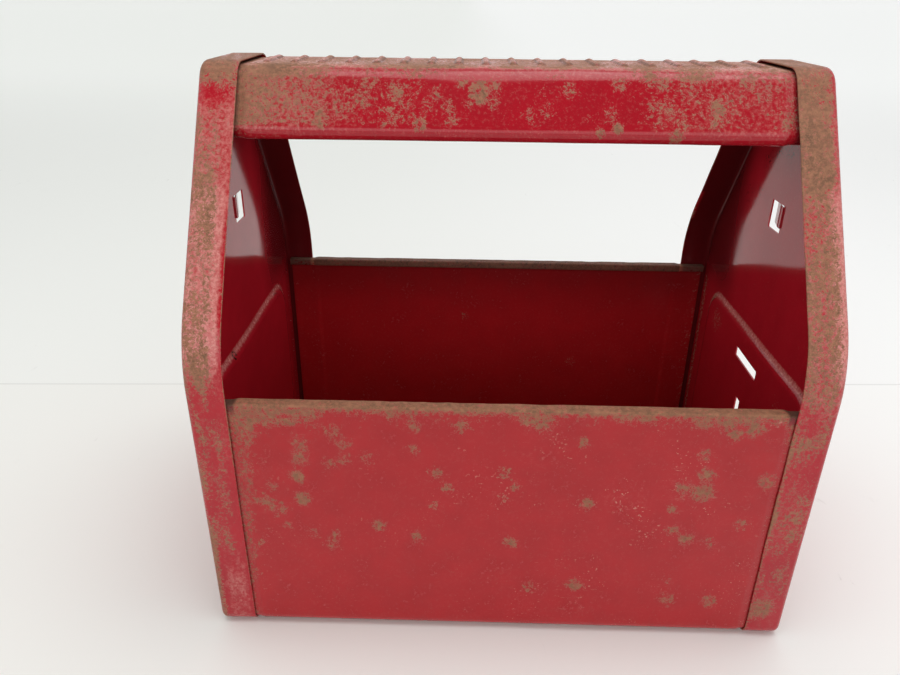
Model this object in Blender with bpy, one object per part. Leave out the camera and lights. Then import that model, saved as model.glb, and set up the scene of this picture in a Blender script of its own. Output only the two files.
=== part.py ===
"""Folded sheet-steel carrier: two flanged end pans joined by a tray and by a ribbed handle channel.

The frame is +X along the handle, +Y to the back, +Z up, with z = 0 on the surface the carrier stands on.
All lengths are metres. Outlines are drawn in the Y-Z plane and swept or stepped along X.
"""

import math

import bmesh
import bpy
from mathutils import Vector

# Overall size
WIDTH = 0.3048
HEIGHT = 0.2852
SHEET = 0.0009
SEAM_GAP = 0.00035

# House-shaped outline of the end pans, as sharp corners with a bend radius at each
BASE_HALF_DEPTH = 0.1049
BELLY_HALF_DEPTH = 0.1055
BELLY_HEIGHT = 0.1647
TOP_HALF_DEPTH = 0.0269
BASE_RADIUS = 0.0075
BELLY_RADIUS = 0.068
TOP_RADIUS = 0.0125

# Flange round each pan
FLANGE_WIDTH = 0.0193
PAN_BEND = 0.0033

# Pressed panel in the lower part of each pan
PRESS_TOP = 0.1330
PRESS_BOTTOM = 0.0190
PRESS_HALF_WIDTH = 0.0850
PRESS_CORNER = 0.0200
PRESS_SHOULDER = 0.0075
PRESS_DEPTH = 0.0022

# Lanced window near the top of each pan (side -1 is left), and the two slots of the right pan
WINDOW_CENTRE_Y = {-1: 0.0088, 1: 0.0062}
WINDOW_CENTRE_Z = 0.2036
WINDOW_SIZE = 0.0160
TAB_LENGTH = 0.0132
TAB_LOWER_GAP = 0.0034
TAB_UPPER_GAP = 0.0006
TAB_ANGLE = math.radians(14.0)
CROSS_SLOT_LENGTH = 0.0352
CROSS_SLOT_HEIGHT = 0.0060
CROSS_SLOT_Z = 0.1132
STEM_SLOT_WIDTH = 0.0066
STEM_SLOT_TOP = 0.0879
STEM_SLOT_LENGTH = 0.0260
SLOT_CENTRE_Y = 0.0017

# Tray: one sheet folded into front panel, floor and back panel
TRAY_FRONT_TOP = 0.1406
TRAY_BACK_TOP = 0.1415
LEDGE_DEPTH = 0.0080
LIP_DROP = 0.0055
LEDGE_RADIUS = 0.0022
LIP_RADIUS = 0.0016
TRAY_HALF_LENGTH = 0.1485

# Handle channel
HANDLE_TOP = HEIGHT - 0.0009
HANDLE_HALF_DEPTH = 0.0266
HANDLE_FACE_ANGLE = math.radians(30.5)
HANDLE_BEND_Z = 0.2580
HANDLE_TOP_RADIUS = 0.0125
CURL_RADIUS = 0.0055
CURL_TURN = math.radians(148.0)
CURL_RETURN = 0.0030
HANDLE_HALF_LENGTH = 0.1480

# Grip ribs pressed up from the flat top of the handle
RIB_COUNT = 19
RIB_PITCH = 0.0136
RIB_HALF_WIDTH = 0.0020
RIB_HEIGHT = 0.0015
RIB_HALF_LENGTH = 0.0155
RIB_END = 0.0040

# The tray and the handle step inwards where the pans' flanges lap over them
PANEL_INSET = 0.0006
LAP_INSET = SHEET + SEAM_GAP
STEP_START = WIDTH / 2 - FLANGE_WIDTH - 0.0048
STEP_END = WIDTH / 2 - FLANGE_WIDTH - 0.0010

# Facets
BEND_STEPS = 5
BELLY_STEPS = 9
STEP_STATIONS = 4
ARCH_STEPS = 6

PLATE_X = WIDTH / 2


def clear_scene():
    for old in list(bpy.data.objects):
        bpy.data.objects.remove(old, do_unlink=True)


# ---------------------------------------------------------------- outlines in the Y-Z plane

def left_normal(start, end):
    along = (end - start).normalized()
    return Vector((-along.y, along.x))


def bend_points(corner, before, after, radius, steps):
    """Points and inward normals along the arc that rounds one left-hand corner."""
    normal_in = left_normal(before, corner)
    normal_out = left_normal(corner, after)
    turn = normal_in.angle(normal_out)
    tangent = radius * math.tan(turn / 2)
    centre = corner - (corner - before).normalized() * tangent + normal_in * radius
    points = []
    for step in range(steps + 1):
        angle = turn * step / steps
        normal = Vector((
            normal_in.x * math.cos(angle) - normal_in.y * math.sin(angle),
            normal_in.x * math.sin(angle) + normal_in.y * math.cos(angle),
        ))
        points.append((centre - normal * radius, normal))
    return points


def rounded_loop(corners):
    """Closed outline from (y, z, radius, steps) corners given anticlockwise."""
    flat = [Vector(corner[:2]) for corner in corners]
    points = []
    for index, (_, _, radius, steps) in enumerate(corners):
        before = flat[index - 1]
        after = flat[(index + 1) % len(flat)]
        points += bend_points(flat[index], before, after, radius, steps)
    return points


def rounded_path(corners):
    """Open outline from (y, z, radius, steps) corners whose bends all turn left."""
    flat = [Vector(corner[:2]) for corner in corners]
    points = [(flat[0], left_normal(flat[0], flat[1]))]
    for index in range(1, len(flat) - 1):
        _, _, radius, steps = corners[index]
        points += bend_points(flat[index], flat[index - 1], flat[index + 1], radius, steps)
    points.append((flat[-1], left_normal(flat[-2], flat[-1])))
    return points


def half_depth(z):
    """Half depth of the carrier's lower body at height z."""
    flare = (BELLY_HALF_DEPTH - BASE_HALF_DEPTH) / BELLY_HEIGHT
    return BASE_HALF_DEPTH + flare * z


def pan_outline():
    right_side = [
        (BASE_HALF_DEPTH, 0.0, BASE_RADIUS, BEND_STEPS),
        (BELLY_HALF_DEPTH, BELLY_HEIGHT, BELLY_RADIUS, BELLY_STEPS),
        (TOP_HALF_DEPTH, HEIGHT, TOP_RADIUS, BEND_STEPS),
    ]
    left_side = [(-y, z, radius, steps) for y, z, radius, steps in reversed(right_side)]
    return rounded_loop(right_side + left_side)


def press_outline(shrink):
    half = PRESS_HALF_WIDTH - shrink
    low = PRESS_BOTTOM + shrink
    high = PRESS_TOP - shrink
    radius = PRESS_CORNER - shrink
    corners = [(half, low), (half, high), (-half, high), (-half, low)]
    return rounded_loop([(y, z, radius, BEND_STEPS) for y, z in corners])


def tray_outline():
    """Outer face of the tray sheet, from the front lip round the floor to the back lip."""
    front = -half_depth(TRAY_FRONT_TOP)
    back = half_depth(TRAY_BACK_TOP)
    return rounded_path([
        (front + LEDGE_DEPTH, TRAY_FRONT_TOP - LIP_DROP, 0.0, 1),
        (front + LEDGE_DEPTH, TRAY_FRONT_TOP, LIP_RADIUS, BEND_STEPS),
        (front, TRAY_FRONT_TOP, LEDGE_RADIUS, BEND_STEPS),
        (-BASE_HALF_DEPTH, 0.0, BASE_RADIUS, BEND_STEPS),
        (BASE_HALF_DEPTH, 0.0, BASE_RADIUS, BEND_STEPS),
        (back, TRAY_BACK_TOP, LEDGE_RADIUS, BEND_STEPS),
        (back - LEDGE_DEPTH, TRAY_BACK_TOP, LIP_RADIUS, BEND_STEPS),
        (back - LEDGE_DEPTH, TRAY_BACK_TOP - LIP_DROP, 0.0, 1),
    ])


def handle_half_corners():
    """Corners of the back half of the handle, from the curled return up to the top."""
    bend_y = HANDLE_HALF_DEPTH + (HANDLE_TOP - HANDLE_BEND_Z) * math.tan(HANDLE_FACE_ANGLE)
    heading = -math.pi / 2 + HANDLE_FACE_ANGLE
    half_turn = CURL_TURN / 2
    reach = CURL_RADIUS * math.tan(half_turn / 2)
    first = Vector((bend_y, HANDLE_BEND_Z)) + Vector((math.cos(heading), math.sin(heading))) * reach
    heading -= half_turn
    second = first + Vector((math.cos(heading), math.sin(heading))) * 2 * reach
    heading -= half_turn
    end = second + Vector((math.cos(heading), math.sin(heading))) * (reach + CURL_RETURN)
    return [
        (end.x, end.y, 0.0, 1),
        (second.x, second.y, CURL_RADIUS, BEND_STEPS),
        (first.x, first.y, CURL_RADIUS, BEND_STEPS),
        (HANDLE_HALF_DEPTH, HANDLE_TOP, HANDLE_TOP_RADIUS, BEND_STEPS),
    ]


def handle_outline():
    back = handle_half_corners()
    front = [(-y, z, radius, steps) for y, z, radius, steps in reversed(back)]
    return rounded_path(back + front)


# ---------------------------------------------------------------- meshes

def ring_at(mesh, outline, x, inset):
    """Adds one ring of vertices: the outline moved inwards by inset, at the given x."""
    ring = []
    for point, normal in outline:
        moved = point + normal * inset
        ring.append(mesh.verts.new((x, moved.x, moved.y)))
    return ring


def join_rings(mesh, first, second, closed=True):
    count = len(first)
    for index in range(count if closed else count - 1):
        after = (index + 1) % count
        mesh.faces.new((first[index], first[after], second[after], second[index]))


def fill_between(mesh, outer, inner):
    """Fills the flat region between two closed rings of vertices."""
    edges = []
    for ring in (outer, inner):
        for index, vertex in enumerate(ring):
            after = ring[(index + 1) % len(ring)]
            edge = mesh.edges.get((vertex, after))
            edges.append(edge or mesh.edges.new((vertex, after)))
    bmesh.ops.triangle_fill(mesh, use_beauty=True, use_dissolve=False, edges=edges)


def object_from(mesh, name):
    bmesh.ops.recalc_face_normals(mesh, faces=mesh.faces)
    data = bpy.data.meshes.new(name)
    mesh.to_mesh(data)
    mesh.free()
    made = bpy.data.objects.new(name, data)
    bpy.context.scene.collection.objects.link(made)
    return made


def hide_cutter(cutter):
    cutter.hide_render = True
    cutter.display_type = "WIRE"


def add_boolean(target, cutter, operation):
    cut = target.modifiers.new(cutter.name, "BOOLEAN")
    cut.object = cutter
    cut.operation = operation
    cut.solver = "EXACT"


def prism(mesh, corners, x_low, x_high):
    """Adds a closed prism with the given Y-Z corners between two x positions."""
    low = [mesh.verts.new((x_low, y, z)) for y, z in corners]
    high = [mesh.verts.new((x_high, y, z)) for y, z in corners]
    join_rings(mesh, low, high)
    mesh.faces.new(list(reversed(low)))
    mesh.faces.new(high)


def rectangle(centre_y, centre_z, size_y, size_z):
    half_y = size_y / 2
    half_z = size_z / 2
    return [
        (centre_y - half_y, centre_z - half_z),
        (centre_y + half_y, centre_z - half_z),
        (centre_y + half_y, centre_z + half_z),
        (centre_y - half_y, centre_z + half_z),
    ]


def paint(made, name, colour, roughness, metallic):
    material = bpy.data.materials.new(name)
    material.use_nodes = True
    shader = material.node_tree.nodes["Principled BSDF"]
    shader.inputs["Base Color"].default_value = (*colour, 1.0)
    shader.inputs["Roughness"].default_value = roughness
    shader.inputs["Metallic"].default_value = metallic
    made.data.materials.append(material)


def shade_bends(made):
    made.data.shade_smooth()
    made.data.set_sharp_from_angle(angle=math.radians(35.0))


# ---------------------------------------------------------------- end pans

def pan_skin(mesh, side, depth):
    """One face of the pan's sheet. depth is 0 on the outside and SHEET on the inside."""
    outline = pan_outline()
    rings = [
        ring_at(mesh, outline, side * (PLATE_X - FLANGE_WIDTH), depth),
    ]
    for step in range(BEND_STEPS + 1):
        angle = math.pi / 2 * step / BEND_STEPS
        radius = PAN_BEND - depth
        x = PLATE_X - PAN_BEND + radius * math.sin(angle)
        rings.append(ring_at(mesh, outline, side * x, PAN_BEND - radius * math.cos(angle)))
    for first, second in zip(rings, rings[1:]):
        join_rings(mesh, first, second)
    plate_x = side * (PLATE_X - depth)
    pressed_x = side * (PLATE_X - depth - PRESS_DEPTH)
    shoulder_top = ring_at(mesh, press_outline(0.0), plate_x, 0.0)
    shoulder_foot = ring_at(mesh, press_outline(PRESS_SHOULDER), pressed_x, 0.0)
    fill_between(mesh, rings[-1], shoulder_top)
    join_rings(mesh, shoulder_top, shoulder_foot)
    mesh.faces.new(shoulder_foot)
    return rings[0]


def window_cutter(name, side, has_slots):
    mesh = bmesh.new()
    x_low = min(side * (PLATE_X - 0.012), side * (PLATE_X + 0.006))
    x_high = max(side * (PLATE_X - 0.012), side * (PLATE_X + 0.006))
    window = rectangle(WINDOW_CENTRE_Y[side], WINDOW_CENTRE_Z, WINDOW_SIZE, WINDOW_SIZE)
    prism(mesh, window, x_low, x_high)
    if has_slots:
        cross = rectangle(SLOT_CENTRE_Y, CROSS_SLOT_Z, CROSS_SLOT_LENGTH, CROSS_SLOT_HEIGHT)
        prism(mesh, cross, x_low, x_high)
        stem_z = STEM_SLOT_TOP - STEM_SLOT_LENGTH / 2
        stem = rectangle(SLOT_CENTRE_Y, stem_z, STEM_SLOT_WIDTH, STEM_SLOT_LENGTH)
        prism(mesh, stem, x_low, x_high)
    cutter = object_from(mesh, name)
    hide_cutter(cutter)
    return cutter


def window_tab(name, side):
    """The lanced tab, hinged on the window's front edge and bent outwards."""
    hinge_y = WINDOW_CENTRE_Y[side] - WINDOW_SIZE / 2
    low = WINDOW_CENTRE_Z - WINDOW_SIZE / 2 + TAB_LOWER_GAP
    high = WINDOW_CENTRE_Z + WINDOW_SIZE / 2 - TAB_UPPER_GAP
    root = 0.0005
    along = Vector((side * math.sin(TAB_ANGLE), math.cos(TAB_ANGLE)))
    across = Vector((-side * math.cos(TAB_ANGLE), math.sin(TAB_ANGLE)))
    hinge = Vector((side * (PLATE_X - 0.00005), hinge_y))
    near_outer = hinge - along * root
    far_outer = hinge + along * TAB_LENGTH
    thickness = SHEET - 0.0001
    flat = [near_outer, far_outer, far_outer + across * thickness, near_outer + across * thickness]
    mesh = bmesh.new()
    bottom = [mesh.verts.new((point.x, point.y, low)) for point in flat]
    top = [mesh.verts.new((point.x, point.y, high)) for point in flat]
    join_rings(mesh, bottom, top)
    mesh.faces.new(list(reversed(bottom)))
    mesh.faces.new(top)
    tab = object_from(mesh, name)
    hide_cutter(tab)
    return tab


def make_end_pan(name, side, has_slots):
    mesh = bmesh.new()
    outer_edge = pan_skin(mesh, side, 0.0)
    inner_edge = pan_skin(mesh, side, SHEET)
    join_rings(mesh, outer_edge, inner_edge)
    pan = object_from(mesh, name)
    add_boolean(pan, window_cutter(name + "_window", side, has_slots), "DIFFERENCE")
    add_boolean(pan, window_tab(name + "_tab", side), "UNION")
    shade_bends(pan)
    return pan


# ---------------------------------------------------------------- tray and handle

def step_stations(half_length):
    """(x, inset) stations along X, with a smooth step down near each end."""
    half = [(half_length, LAP_INSET)]
    for step in range(STEP_STATIONS + 1):
        share = step / STEP_STATIONS
        ease = (1 + math.cos(math.pi * share)) / 2
        inset = PANEL_INSET + (LAP_INSET - PANEL_INSET) * ease
        half.append((STEP_END + (STEP_START - STEP_END) * share, inset))
    return half + [(-x, inset) for x, inset in reversed(half)]


def folded_sheet(name, outline, half_length):
    """A sheet folded along the outline and lofted along X through its stations."""
    mesh = bmesh.new()
    skins = []
    for depth in (0.0, SHEET):
        stations = step_stations(half_length)
        skins.append([ring_at(mesh, outline, x, inset + depth) for x, inset in stations])
    for rings in skins:
        for first, second in zip(rings, rings[1:]):
            join_rings(mesh, first, second, closed=False)
    outer, inner = skins
    for end in (0, -1):
        join_rings(mesh, outer[end], inner[end], closed=False)
    for side in (0, -1):
        for index in range(len(outer) - 1):
            mesh.faces.new((
                outer[index][side],
                outer[index + 1][side],
                inner[index + 1][side],
                inner[index][side],
            ))
    return object_from(mesh, name)


def make_tray():
    tray = folded_sheet("tray_body", tray_outline(), TRAY_HALF_LENGTH)
    shade_bends(tray)
    return tray


def rib_bars(name, half_width, height, base_z, half_length):
    """Nineteen arched bars across the handle's flat top, with rounded ends."""
    mesh = bmesh.new()
    surface = HANDLE_TOP - PANEL_INSET
    for rib in range(RIB_COUNT):
        x = RIB_PITCH * (rib - (RIB_COUNT - 1) / 2)
        rings = []
        for share in (1.0, 0.8, 0.45, 0.0):
            fullness = math.sqrt(1 - share * share * 0.9)
            y = half_length - RIB_END * (1 - share)
            rings.append((-y, fullness))
        rings += [(-y, fullness) for y, fullness in reversed(rings)]
        loops = []
        for y, fullness in rings:
            arch = []
            for step in range(ARCH_STEPS + 1):
                angle = math.pi * step / ARCH_STEPS
                z = surface + height * fullness * math.sin(angle)
                arch.append(mesh.verts.new((x + half_width * fullness * math.cos(angle), y, z)))
            arch.append(mesh.verts.new((x - half_width * fullness, y, base_z)))
            arch.append(mesh.verts.new((x + half_width * fullness, y, base_z)))
            loops.append(arch)
        for first, second in zip(loops, loops[1:]):
            join_rings(mesh, first, second)
        mesh.faces.new(list(reversed(loops[0])))
        mesh.faces.new(loops[-1])
    bars = object_from(mesh, name)
    hide_cutter(bars)
    return bars


def make_handle():
    handle = folded_sheet("handle_channel", handle_outline(), HANDLE_HALF_LENGTH)
    middle = HANDLE_TOP - PANEL_INSET - SHEET / 2
    ribs = rib_bars("handle_ribs", RIB_HALF_WIDTH, RIB_HEIGHT, middle, RIB_HALF_LENGTH)
    below = HANDLE_TOP - PANEL_INSET - SHEET * 2
    grooves = rib_bars(
        "handle_grooves",
        RIB_HALF_WIDTH - SHEET * 0.9,
        RIB_HEIGHT - SHEET,
        below,
        RIB_HALF_LENGTH - SHEET,
    )
    add_boolean(handle, ribs, "UNION")
    add_boolean(handle, grooves, "DIFFERENCE")
    shade_bends(handle)
    return handle


def build():
    clear_scene()
    left = make_end_pan("end_pan_left", -1, has_slots=False)
    right = make_end_pan("end_pan_right", 1, has_slots=True)
    tray = make_tray()
    handle = make_handle()
    paint(left, "pan_paint_left", (0.36, 0.06, 0.04), 0.38, 0.0)
    paint(right, "pan_paint_right", (0.36, 0.08, 0.05), 0.42, 0.0)
    paint(tray, "tray_paint", (0.38, 0.035, 0.04), 0.32, 0.0)
    paint(handle, "handle_paint", (0.42, 0.02, 0.03), 0.28, 0.0)


build()
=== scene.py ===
"""Looks for the folded sheet-steel caddy: dense enamelled sheets, rust, a studio floor and a camera.

The frame is the CAD's: +X along the handle to the end with the slots, +Y to the back, +Z up, metres.
Each CAD sheet is replaced by a finer sheet on the same outline, whose vertices carry amounts of rust,
fade_and_sheen (faded paint and painted sheen), grime, dark (painted shade) and marks, that the node
materials break up with noise.
"""

import math

import bmesh
import bpy
import numpy as np
from mathutils import Matrix, Vector
from mathutils.geometry import delaunay_2d_cdt


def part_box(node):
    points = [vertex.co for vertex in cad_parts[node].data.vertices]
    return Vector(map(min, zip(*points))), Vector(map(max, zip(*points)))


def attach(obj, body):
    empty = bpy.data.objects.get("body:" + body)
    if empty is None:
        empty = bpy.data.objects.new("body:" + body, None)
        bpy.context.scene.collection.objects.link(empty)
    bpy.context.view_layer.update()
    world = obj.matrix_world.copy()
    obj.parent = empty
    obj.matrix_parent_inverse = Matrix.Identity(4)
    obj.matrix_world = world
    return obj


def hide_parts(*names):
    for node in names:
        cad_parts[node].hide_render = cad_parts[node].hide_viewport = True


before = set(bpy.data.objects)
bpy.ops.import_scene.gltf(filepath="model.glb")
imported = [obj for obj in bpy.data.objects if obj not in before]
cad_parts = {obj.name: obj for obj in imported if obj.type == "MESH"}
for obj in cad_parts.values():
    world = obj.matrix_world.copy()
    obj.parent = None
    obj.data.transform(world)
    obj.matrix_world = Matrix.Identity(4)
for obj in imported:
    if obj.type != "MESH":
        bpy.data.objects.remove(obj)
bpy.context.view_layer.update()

# ---------------------------------------------------------------- sizes shared with the CAD sheets

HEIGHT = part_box("end_pan_right")[1].z
PLATE_X = 0.1524
SHEET = 0.0009
RIM = SHEET / 2

BASE_HALF_DEPTH = 0.1049
BELLY_HALF_DEPTH = 0.1055
BELLY_HEIGHT = 0.1647
TOP_HALF_DEPTH = 0.0269
BASE_RADIUS = 0.0075
BELLY_RADIUS = 0.068
TOP_RADIUS = 0.0125
FLANGE_WIDTH = 0.0193
PAN_BEND = 0.0033

PRESS_TOP = 0.1330
PRESS_BOTTOM = 0.0190
PRESS_HALF_WIDTH = 0.0850
PRESS_CORNER = 0.0200
PRESS_SHOULDER = 0.0075
PRESS_DEPTH = 0.0022
PRESS_MARGIN = 0.0012

WINDOW_Y = {-1: 0.0088, 1: 0.0062}
WINDOW_Z = 0.2036
WINDOW_SIZE = 0.0160
WINDOW_CORNER = 0.0008
TAB_LENGTH = 0.0132
TAB_LOW = 0.0034
TAB_HIGH = 0.0006
TAB_ANGLE = math.radians(14.0)
TAB_SKIN = 0.0001
TAB_BACKSET = 0.0003
SLOT_Y = 0.0017
CROSS_SLOT = (0.0352, 0.0060, 0.1132)
STEM_SLOT = (0.0066, 0.0260, 0.0879)
SLOT_CORNER = 0.0006
HOLE_STEP = 0.002

TRAY_FRONT_TOP = 0.1406
TRAY_BACK_TOP = 0.1415
LEDGE_DEPTH = 0.0080
LIP_DROP = 0.0055
LEDGE_RADIUS = 0.0022
LIP_RADIUS = 0.0016
TRAY_HALF_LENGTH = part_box("tray_body")[1].x

HANDLE_TOP = HEIGHT - 0.0009
HANDLE_HALF_DEPTH = 0.0266
HANDLE_ANGLE = math.radians(30.5)
HANDLE_BEND_Z = 0.2580
HANDLE_TOP_RADIUS = 0.0125
CURL_RADIUS = 0.0055
CURL_TURN = math.radians(148.0)
CURL_RETURN = 0.0030
HANDLE_HALF_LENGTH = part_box("handle_channel")[1].x

RIB_COUNT = 19
RIB_PITCH = 0.0136
RIB_HALF_WIDTH = 0.0024
RIB_HEIGHT = 0.0015
RIB_HALF_LENGTH = 0.0155
RIB_END = 0.0050

PANEL_INSET = 0.0006
SHEET_GAP = 0.00035
LAP_INSET = SHEET + SHEET_GAP
STEP_START = PLATE_X - FLANGE_WIDTH - 0.0048
STEP_END = PLATE_X - FLANGE_WIDTH - 0.0010
SAME_POINT = 1e-6
DELAUNAY_EPSILON = 1e-7
SLIVER = 2e-8
SHARP_EDGE = math.radians(42)
MM = 1000

# unevenness of the sheets, metres
PAN_RIPPLE = 0.00022
PAN_DISH = 0.00016
PLATE_SAG = 0.00022
TRAY_DENT = 0.00026
TRAY_RIPPLE = 0.00004
LEDGE_DENT = 0.00016
HANDLE_DENT = 0.00012


# ---------------------------------------------------------------- small numeric helpers

def unit(v):
    return v / np.linalg.norm(v)


def left_of(v):
    return np.array([-v[1], v[0]])


def smooth(t):
    t = np.clip(t, 0.0, 1.0)
    return t * t * (3 - 2 * t)


def band(v, low, high, soft):
    """1 between low and high, falling to 0 over soft on both sides."""
    return smooth((v - low) / soft + 1) * smooth((high - v) / soft + 1)


def waves(seed, wavelength, terms=9):
    """A smooth random field of two coordinates, roughly within -1 and 1."""
    rng = np.random.default_rng(seed)
    angle = rng.uniform(0, 2 * math.pi, terms)
    size = 2 * math.pi / (wavelength * rng.uniform(0.6, 1.8, terms))
    phase = rng.uniform(0, 2 * math.pi, terms)

    def field(a, b):
        total = 0.0
        for k in range(terms):
            total = total + np.sin(size[k] * (np.cos(angle[k]) * a + np.sin(angle[k]) * b) + phase[k])
        return total / math.sqrt(terms)

    return field


def spots(a, b, places):
    """Strongest of the round patches (a, b, radius, strength), all in millimetres."""
    best = np.full_like(a, -0.4)
    for ca, cb, radius, strength in places:
        away = np.hypot(a * MM - ca, b * MM - cb) / radius
        best = np.maximum(best, 0.76 * strength * smooth(1.5 - away))
    return best


# ---------------------------------------------------------------- outlines in the Y-Z plane

def trace(corners, closed):
    """Dense points and inward normals along (y, z, radius, spacing) corners that turn left."""
    flat = np.array([corner[:2] for corner in corners])
    count = len(flat)
    runs = []
    for i, (_, _, radius, _) in enumerate(corners):
        if not closed and i in (0, count - 1):
            along = flat[1] - flat[0] if i == 0 else flat[-1] - flat[-2]
            runs.append((flat[i][None, :], left_of(unit(along))[None, :]))
            continue
        into = unit(flat[i] - flat[i - 1])
        away = unit(flat[(i + 1) % count] - flat[i])
        turn = math.acos(max(-1.0, min(1.0, float(into @ away))))
        steps = max(5, math.ceil(radius * turn / min(radius * 0.2, 0.003)))
        centre = flat[i] - into * radius * math.tan(turn / 2) + left_of(into) * radius
        start = math.atan2(left_of(into)[1], left_of(into)[0])
        angles = start + np.linspace(0, turn, steps + 1)
        normals = np.stack([np.cos(angles), np.sin(angles)], 1)
        runs.append((centre - normals * radius, normals))
    points, normals = [], []
    for i, (run, facing) in enumerate(runs):
        points += list(run)
        normals += list(facing)
        if closed or i + 1 < count:
            following = runs[(i + 1) % count][0][0]
            cuts = max(1, round(float(np.linalg.norm(following - run[-1])) / corners[i][3]))
            for k in range(1, cuts):
                points.append(run[-1] + (following - run[-1]) * k / cuts)
                normals.append(facing[-1])
    points, normals = np.array(points), np.array(normals)
    apart = np.linalg.norm(np.diff(points, axis=0), axis=1) > SAME_POINT
    keep = np.concatenate([[True], apart])
    return points[keep], normals[keep]


def half_depth(z):
    return BASE_HALF_DEPTH + (BELLY_HALF_DEPTH - BASE_HALF_DEPTH) / BELLY_HEIGHT * z


def pan_outline():
    step = 0.003
    right = [
        (BASE_HALF_DEPTH, 0.0, BASE_RADIUS, step),
        (BELLY_HALF_DEPTH, BELLY_HEIGHT, BELLY_RADIUS, step),
        (TOP_HALF_DEPTH, HEIGHT, TOP_RADIUS, step),
    ]
    return trace(right + [(-y, z, radius, step) for y, z, radius, step in reversed(right)], True)


def tray_outline():
    front = -half_depth(TRAY_FRONT_TOP)
    back = half_depth(TRAY_BACK_TOP)
    fine = 0.0012
    step = 0.0026
    return trace([
        (front + LEDGE_DEPTH, TRAY_FRONT_TOP - LIP_DROP, 0.0, fine),
        (front + LEDGE_DEPTH, TRAY_FRONT_TOP, LIP_RADIUS, fine),
        (front, TRAY_FRONT_TOP, LEDGE_RADIUS, step),
        (-BASE_HALF_DEPTH, 0.0, BASE_RADIUS, 0.004),
        (BASE_HALF_DEPTH, 0.0, BASE_RADIUS, step),
        (back, TRAY_BACK_TOP, LEDGE_RADIUS, fine),
        (back - LEDGE_DEPTH, TRAY_BACK_TOP, LIP_RADIUS, fine),
        (back - LEDGE_DEPTH, TRAY_BACK_TOP - LIP_DROP, 0.0, fine),
    ], False)


def handle_outline():
    bend_y = HANDLE_HALF_DEPTH + (HANDLE_TOP - HANDLE_BEND_Z) * math.tan(HANDLE_ANGLE)
    reach = CURL_RADIUS * math.tan(CURL_TURN / 4)
    heading = HANDLE_ANGLE - math.pi / 2
    place = np.array([bend_y, HANDLE_BEND_Z])
    corners = []
    for advance, turn in ((reach, CURL_TURN / 2), (2 * reach, CURL_TURN / 2), (reach + CURL_RETURN, 0)):
        place = place + np.array([math.cos(heading), math.sin(heading)]) * advance
        corners.append(place)
        heading -= turn
    first, second, end = corners
    fine = 0.0010
    back = [
        (end[0], end[1], 0.0, fine),
        (second[0], second[1], CURL_RADIUS, fine),
        (first[0], first[1], CURL_RADIUS, 0.0018),
        (HANDLE_HALF_DEPTH, HANDLE_TOP, HANDLE_TOP_RADIUS, 0.0012),
    ]
    front = [(-y, z, radius, step) for y, z, radius, step in reversed(back)]
    front[0] = front[0][:3] + (0.0018,)
    front[1] = front[1][:3] + (fine,)
    return trace(back + front, False)


# ---------------------------------------------------------------- mesh making

def make_piece(name, vertices, faces, wear_and_painted_light, node, material):
    """Object from arrays, with one float attribute per kind of rust, dirt, fading, marks, painted sheen and
    painted shade; it stands for its CAD node.
    """
    data = bpy.data.meshes.new(name)
    data.from_pydata([tuple(v) for v in vertices], [], faces)
    for kind, amounts in wear_and_painted_light.items():
        layer = data.attributes.new(kind, "FLOAT", "POINT")
        layer.data.foreach_set("value", np.asarray(amounts, np.float32))
    mesh = bmesh.new()
    mesh.from_mesh(data)
    bmesh.ops.recalc_face_normals(mesh, faces=mesh.faces)
    mesh.to_mesh(data)
    mesh.free()
    data.shade_smooth()
    data.set_sharp_from_angle(angle=SHARP_EDGE)
    data.materials.append(material)
    piece = bpy.data.objects.new(name, data)
    bpy.context.scene.collection.objects.link(piece)
    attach(piece, "root")
    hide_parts(node)


def loop_quads(first, second):
    count = len(first)
    return [(first[i], first[(i + 1) % count], second[(i + 1) % count], second[i]) for i in range(count)]


def section_of(points, normals):
    """Closed section of a sheet with rounded edges: base, normal, depth and push of each vertex."""
    turns = np.linspace(0, math.pi, 6)[1:-1]
    start_out = unit(points[0] - points[1])
    end_out = unit(points[-1] - points[-2])
    base = points.copy()
    base[0] = base[0] - start_out * RIM
    base[-1] = base[-1] - end_out * RIM
    count = len(base)
    rows = [(base[i], normals[i], 0.0, np.zeros(2)) for i in range(count)]
    for t in turns:
        rows.append((base[-1], normals[-1], RIM * (1 - math.cos(t)), end_out * RIM * math.sin(t)))
    rows += [(base[i], normals[i], SHEET, np.zeros(2)) for i in reversed(range(count))]
    for t in reversed(turns):
        rows.append((base[0], normals[0], RIM * (1 - math.cos(t)), start_out * RIM * math.sin(t)))
    return [np.array(column) for column in zip(*rows)]


def lap_inset(x):
    share = smooth((np.abs(x) - STEP_START) / (STEP_END - STEP_START))
    return PANEL_INSET + (LAP_INSET - PANEL_INSET) * share


def lofted_sheet(points, normals, stations, outward):
    """Vertices, faces, and the section's depth for each vertex, of a folded sheet lofted along X."""
    base, facing, depth, push = section_of(points, normals)
    count = len(base)
    vertices = []
    for x in stations:
        lift = outward(np.full(count, x), base[:, 0], base[:, 1])
        yz = base + facing * (lap_inset(x) + depth - lift)[:, None] + push
        vertices.append(np.column_stack([np.full(count, x), yz]))
    rings = [list(range(k * count, (k + 1) * count)) for k in range(len(stations))]
    faces = []
    for first, second in zip(rings, rings[1:]):
        faces += loop_quads(first, second)
    skin = len(points)
    caps = len(base) - 2 * skin
    half = caps // 2
    for ring in (rings[0], rings[-1]):
        for i in range(skin - 1):
            other = 2 * skin + half - 1 - i
            faces.append((ring[i], ring[i + 1], ring[other - 1], ring[other]))
        faces.append([ring[skin - 1 + k] for k in range(half + 2)])
        faces.append([ring[2 * skin + half - 1 + k] for k in range(half + 1)] + [ring[0]])
    return np.concatenate(vertices), faces, np.tile(depth, len(stations))


# ---------------------------------------------------------------- node helpers

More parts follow.
